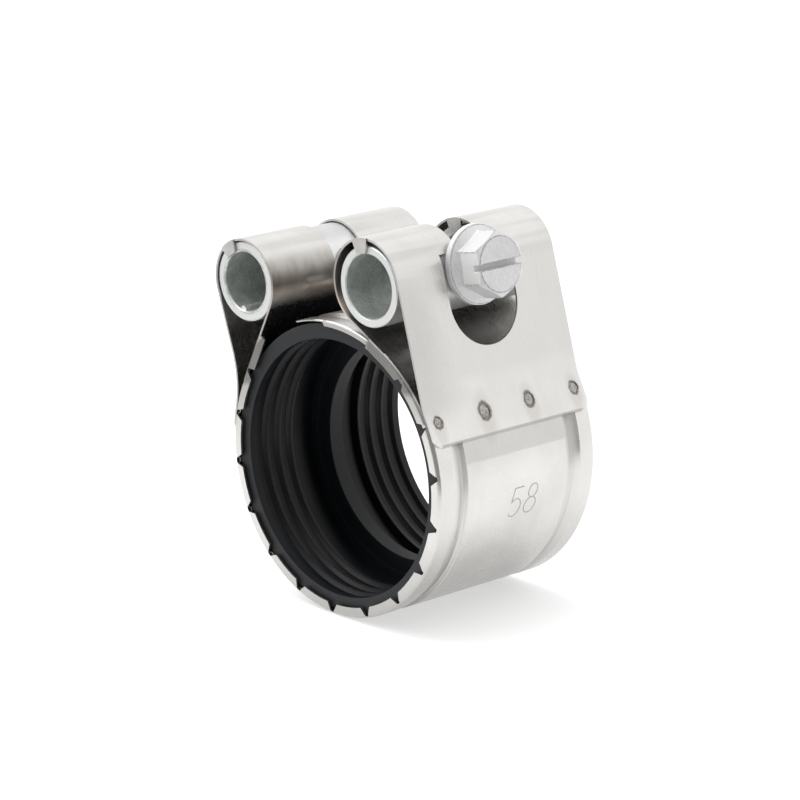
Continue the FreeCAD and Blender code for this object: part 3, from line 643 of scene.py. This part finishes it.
class COUPLING_OT_bolt(bpy.types.Operator):
    """Makes the clamp bolt's head with softened edges and its threaded shank, in grainy zinc plating"""

    bl_idname = "coupling.bolt"
    bl_label = "Clamp bolt"

    def execute(self, context):
        scene = context.scene
        zinc = plated_zinc("bolt_zinc", scene.coupling_finish, BOLT_METAL)
        dress("clamp_bolt", zinc)
        head = on_body("bolt_head", head_alone(), "bolt", zinc)
        soft = head.modifiers.new("worn_edges", "BEVEL")
        soft.limit_method, soft.angle_limit = "ANGLE", SHARP_ANGLE
        soft.width, soft.segments = EDGE_WEAR, 2
        head.data.set_sharp_from_angle(angle=SHARP_ANGLE)
        points = threaded_shank(scene.coupling_marks)
        shank = on_shape("bolt_thread", points, "bolt", zinc, closed=True)
        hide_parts("clamp_bolt")
        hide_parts("clamp_bolt")
        return {"FINISHED"}


class COUPLING_OT_numerals(bpy.types.Operator):
    """Engraves the pipe's outside diameter on the raised band"""

    bl_idname = "coupling.numerals"
    bl_label = "Numerals"

    def execute(self, context):
        marks = context.scene.coupling_marks
        finish = engraved_line(context.scene.coupling_finish)
        for place, (name, strokes) in enumerate((("five", five_strokes()), ("eight", eight_strokes()))):
            start = marks.numeral_left + place * marks.numeral_step
            for number, stroke in enumerate(strokes):
                points = engraved_stroke(stroke, start, marks)
                on_shape("numeral_%s_%d" % (name, number), points, "coupling", finish)
        return {"FINISHED"}


class COUPLING_OT_studio(bpy.types.Operator):
    """Sets the pale floor, the white surroundings, the soft lamp and the camera"""

    bl_idname = "coupling.studio"
    bl_label = "Studio"

    def execute(self, context):
        settings = context.scene.coupling_studio
        context.scene.view_settings.view_transform = "Standard"
        make_floor(settings)
        make_surroundings(settings)
        make_lamp(settings)
        make_camera(settings)
        return {"FINISHED"}


def bolt_place(along, across, up):
    """Points given along the bolt from the threaded tube's axis, across it and up from it."""
    x = LEFT_TUBE_X + along * math.cos(BOLT_RISE) - up * math.sin(BOLT_RISE)
    z = LOCK_HEIGHT + along * math.sin(BOLT_RISE) + up * math.cos(BOLT_RISE)
    return np.stack([x, HALF_WIDTH + across, z], axis=-1)


def head_alone():
    """The CAD bolt's mesh, merged, without its shank's faces, and closed where the shank left the flange."""
    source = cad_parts["clamp_bolt"].data
    work = bmesh.new()
    work.from_mesh(source)
    bmesh.ops.remove_doubles(work, verts=work.verts, dist=SAME_BOLT_POINT)

    def on_shank(point):
        run, rise = point.x - LEFT_TUBE_X, point.z - LOCK_HEIGHT
        up = rise * math.cos(BOLT_RISE) - run * math.sin(BOLT_RISE)
        return math.hypot(point.y - HALF_WIDTH, up) < SHANK_REACH and run < SEAT_RUN

    shank = [face for face in work.faces if all(on_shank(vertex.co) for vertex in face.verts)]
    bmesh.ops.delete(work, geom=shank, context="FACES")
    bmesh.ops.holes_fill(work, edges=[edge for edge in work.edges if edge.is_boundary])
    bmesh.ops.dissolve_limit(work, angle_limit=math.radians(1.0), verts=work.verts, edges=work.edges)
    mesh = bpy.data.meshes.new("bolt_head")
    work.to_mesh(mesh)
    work.free()
    return mesh


def threaded_shank(marks):
    """The shank from its pointed tip to inside the head, as a tube whose radius follows a helix:
    r = R - depth * groove((s / pitch) - (angle / turn)), its groove open by about 60 degrees."""
    columns, rows_a_pitch = 48, 14
    runout_length, point_length, point_depth = 0.0012, 0.0009, 1.3
    steepness, crest = 1.6, 0.2
    angle = np.linspace(0.0, math.tau, columns + 1)[:-1]
    rows = np.arange(marks.thread_start, marks.thread_end + runout_length, marks.thread_pitch / rows_a_pitch)
    along, turn = np.meshgrid(rows, angle, indexing="ij")
    phase = (along / marks.thread_pitch - turn / math.tau) % 1.0
    groove = np.clip((0.5 - np.abs(phase - 0.5)) * 2.0 * steepness - crest, 0.0, 1.0)
    runout = np.clip((marks.thread_end - along) / runout_length, 0.0, 1.0)
    point = np.clip((along - marks.thread_start) / point_length, 0.0, 1.0)
    reach = marks.shank_radius - marks.thread_depth * groove * runout
    reach = np.minimum(reach, marks.shank_radius - marks.thread_depth * point_depth * (1.0 - point))

    # One more row stands inside the head, and a point closes each end.
    plain = np.full((1, columns), marks.shank_radius)
    closed = np.zeros((1, columns))
    tip = np.full((1, columns), marks.thread_start)
    far = np.full((1, columns), marks.head_seat + 0.0003)
    reach = np.concatenate([closed, reach, plain, closed])
    along = np.concatenate([tip, along, far, far])
    turn = np.broadcast_to(angle, reach.shape)
    return bolt_place(along, reach * np.cos(turn), reach * np.sin(turn))


def engraved_line(settings):
    """Dull darker steel in the bottom of an engraved stroke."""
    line = Finish(bpy.data.materials.new("engraved_line"))
    base = settings.steel_colour
    grain = line.noise(line.place(), 3500.0, 2.0)
    shade = line.blend(grain, toned(base, 0.48), toned(base, 0.72))
    return line.surface(Base_Color=shade, Metallic=1.0, Roughness=0.35 + 0.3 * grain)


def arc(centre, reach, start, end, count=48):
    """Points round an ellipse from one angle to another."""
    turn = np.radians(np.linspace(start, end, count))
    return np.stack([centre[0] + reach[0] * np.cos(turn), centre[1] + reach[1] * np.sin(turn)], axis=-1)


def five_strokes():
    """The 5 in a box one high: its roof and back, then its bowl, in one run."""
    roof = np.linspace((0.50, 1.0), (0.10, 1.0), 12)
    back = np.linspace((0.10, 1.0), (0.06, 0.56), 12)
    bowl = arc((0.27, 0.31), (0.26, 0.31), 142.0, -142.0)
    return [np.concatenate([roof, back[1:], bowl])]


def eight_strokes():
    """The 8 in a box one high: a small ring on a larger one."""
    small = arc((0.28, 0.77), (0.20, 0.23), -90.0, 270.0, 72)
    large = arc((0.28, 0.27), (0.26, 0.27), 90.0, 450.0, 72)
    return [small, large]


def engraved_stroke(line, start, marks):
    """A ribbon carried along a slanted line on the band: the line's second coordinate runs up round the
    band's circle as an angle, its first along the pipe, and the ribbon's low crown stands on the sheet."""
    height, reach = marks.numeral_height, marks.band_radius
    along = start + height * (line[:, 0] + marks.numeral_slant * line[:, 1])
    up = height * (line[:, 1] - 0.5) + reach * marks.numeral_angle
    run = np.stack([np.gradient(along), np.gradient(up)], axis=-1)
    run /= np.linalg.norm(run, axis=1, keepdims=True)
    across = np.linspace(-0.5, 0.5, 5)
    crown = 0.000008 + 0.00001 * (1.0 - 4.0 * across ** 2)
    width = across * marks.stroke_width
    y = along[:, None] - run[:, 1:2] * width
    turn = (up[:, None] + run[:, 0:1] * width) / reach
    r = reach + np.broadcast_to(crown, turn.shape)
    return np.stack([r * np.cos(turn), y, r * np.sin(turn)], axis=-1)


def dress(node, finish):
    """Puts a finish on a CAD node."""
    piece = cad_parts[node]
    if not piece.material_slots:
        piece.data.materials.append(finish)
    for slot in piece.material_slots:
        slot.material = finish


def floor_frame(settings):
    """The floor's two directions and its upward one, turned with the coupling's roll."""
    tilt = settings.floor_tilt
    along = np.array([math.cos(tilt), 0.0, -math.sin(tilt)])
    up = np.array([math.sin(tilt), 0.0, math.cos(tilt)])
    return along, np.array([0.0, 1.0, 0.0]), up


def stage_piece(name, points, faces, finish):
    """A piece of the studio, which is no part of the coupling."""
    mesh = new_mesh(name, points, faces)
    mesh.materials.append(finish)
    piece = new_object(name, mesh)
    return piece


def paper(name, shade, glow):
    """Matt paper with a faint fleck, lifted by a little light of its own."""
    sheet = Finish(bpy.data.materials.new(name))
    fleck = sheet.noise(sheet.place(), 300.0, 3.0)
    tone = sheet.blend(fleck, toned([shade] * 3, 0.99), colour([shade] * 3))
    return sheet.surface(Base_Color=tone, Roughness=0.9, Specular_IOR_Level=0.1,
                         Emission_Color=colour(WHITE), Emission_Strength=glow)


def make_floor(settings):
    """A wide plane that touches the band where the coupling stands, and two dimmer sheets out of the picture:
    rings' sectors in the floor's own directions, dark towards the camera and grey to its left."""
    along, deep, up = floor_frame(settings)
    foot = -up * settings.floor_drop
    floor_reach, steps = 12.0, 9
    size = np.linspace(-floor_reach, floor_reach, steps)
    u, v = np.meshgrid(size, size, indexing="ij")
    points = along * u[..., None] + deep * v[..., None] + foot
    pale = paper("pale_floor", settings.floor_shade, settings.floor_glow)
    stage_piece("studio_floor", points, grid_faces(steps, steps), pale)
    columns, lift = 25, 0.001
    for name, start, end, near, shade, glow in (
        ("dark_sheet", -102.0, 20.0, 0.24, 0.03, 0.0),
        ("grey_sheet", -178.0, -102.0, 0.17, 0.5, 0.1),
    ):
        turn = np.radians(np.linspace(start, end, columns))
        turn, reach = np.meshgrid(turn, np.array([near, 0.6, 3.0]), indexing="ij")
        across, away = reach * np.cos(turn), reach * np.sin(turn)
        points = along * across[..., None] + deep * (away[..., None] + HALF_WIDTH) + foot + up * lift
        stage_piece(name, points, grid_faces(columns, 3)[:, ::-1], paper(name, shade, glow))


def make_surroundings(settings):
    """White surroundings, darker towards the camera's side but not overhead."""
    world = bpy.data.worlds.new("white_room")
    bpy.context.scene.world = world
    room = Finish(world)
    x, y, z = room.axes(room.node("TexCoord").outputs["Generated"])
    camera_x, camera_y = 0.743, -0.669
    facing = (x * camera_x + y * camera_y) / distance(x, y).most(0.001)
    dark = facing.between(0.30, 0.62) * abs(z).below(0.45, 0.75)
    strength = settings.sky * (1.0 - dark * settings.dark_side)
    glow = room.node("Background", None, {"Color": colour(WHITE), "Strength": strength})
    room.node("OutputWorld", None, {"Surface": glow.outputs[0]})


def make_lamp(settings):
    """One large soft lamp over the coupling."""
    lamp = bpy.data.lights.new("lamp_over", "AREA")
    lamp.shape, lamp.size, lamp.energy = "SQUARE", 0.9, settings.lamp
    holder = new_object("lamp_over", lamp)
    holder.location = (-0.20, -0.10, 0.85)
    aim = Vector((0.0, 0.023, 0.01)) - holder.location
    holder.rotation_euler = aim.to_track_quat("-Z", "Y").to_euler()


def make_camera(settings):
    """The photograph's viewpoint: right, down and forward directions of its frame, and its place."""
    right = Vector((0.6772766, 0.72842362, -0.10341874))
    down = Vector((0.05182499, -0.18745122, -0.98090581))
    forward = Vector((-0.73390094, 0.65898487, -0.16470687))
    place = Matrix.Translation((0.61420, -0.53088, 0.14935))
    lens = bpy.data.cameras.new("studio_camera")
    lens.lens, lens.sensor_width = settings.lens, 36.0
    lens.clip_start, lens.clip_end = 0.05, 100.0
    camera = new_object("studio_camera", lens)
    camera.matrix_world = place @ Matrix((right, -down, -forward)).transposed().to_4x4()
    bpy.context.scene.camera = camera


class COUPLING_PT_parts(bpy.types.Panel):
    """Lists the coupling's pieces and their settings"""

    bl_idname = "COUPLING_PT_parts"
    bl_label = "No Hub Coupling"
    bl_space_type = "VIEW_3D"
    bl_region_type = "UI"
    bl_category = "Coupling"

    def draw(self, context):
        layout = self.layout
        for step in STEPS:
            layout.operator(step.bl_idname)
        for group, kind in GROUPS.items():
            box = layout.box()
            box.label(text=kind.__name__)
            for name in kind.__annotations__:
                box.prop(getattr(context.scene, group), name)


GROUPS = {
    "coupling_finish": CouplingFinish,
    "coupling_marks": CouplingMarks,
    "coupling_studio": CouplingStudio,
}
STEPS = (
    COUPLING_OT_casing,
    COUPLING_OT_sleeve,
    COUPLING_OT_tubes,
    COUPLING_OT_bolt,
    COUPLING_OT_numerals,
    COUPLING_OT_studio,
)


def register():
    for kind in (*GROUPS.values(), *STEPS, COUPLING_PT_parts):
        bpy.utils.register_class(kind)
    for group, kind in GROUPS.items():
        setattr(bpy.types.Scene, group, bpy.props.PointerProperty(type=kind))


def unregister():
    for group in GROUPS:
        delattr(bpy.types.Scene, group)
    for kind in reversed((*GROUPS.values(), *STEPS, COUPLING_PT_parts)):
        bpy.utils.unregister_class(kind)


def main():
    """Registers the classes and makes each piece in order."""
    register()
    bpy.ops.coupling.casing()
    bpy.ops.coupling.sleeve()
    bpy.ops.coupling.tubes()
    bpy.ops.coupling.bolt()
    bpy.ops.coupling.numerals()
    bpy.ops.coupling.studio()


if __name__ == "__main__":
    main()
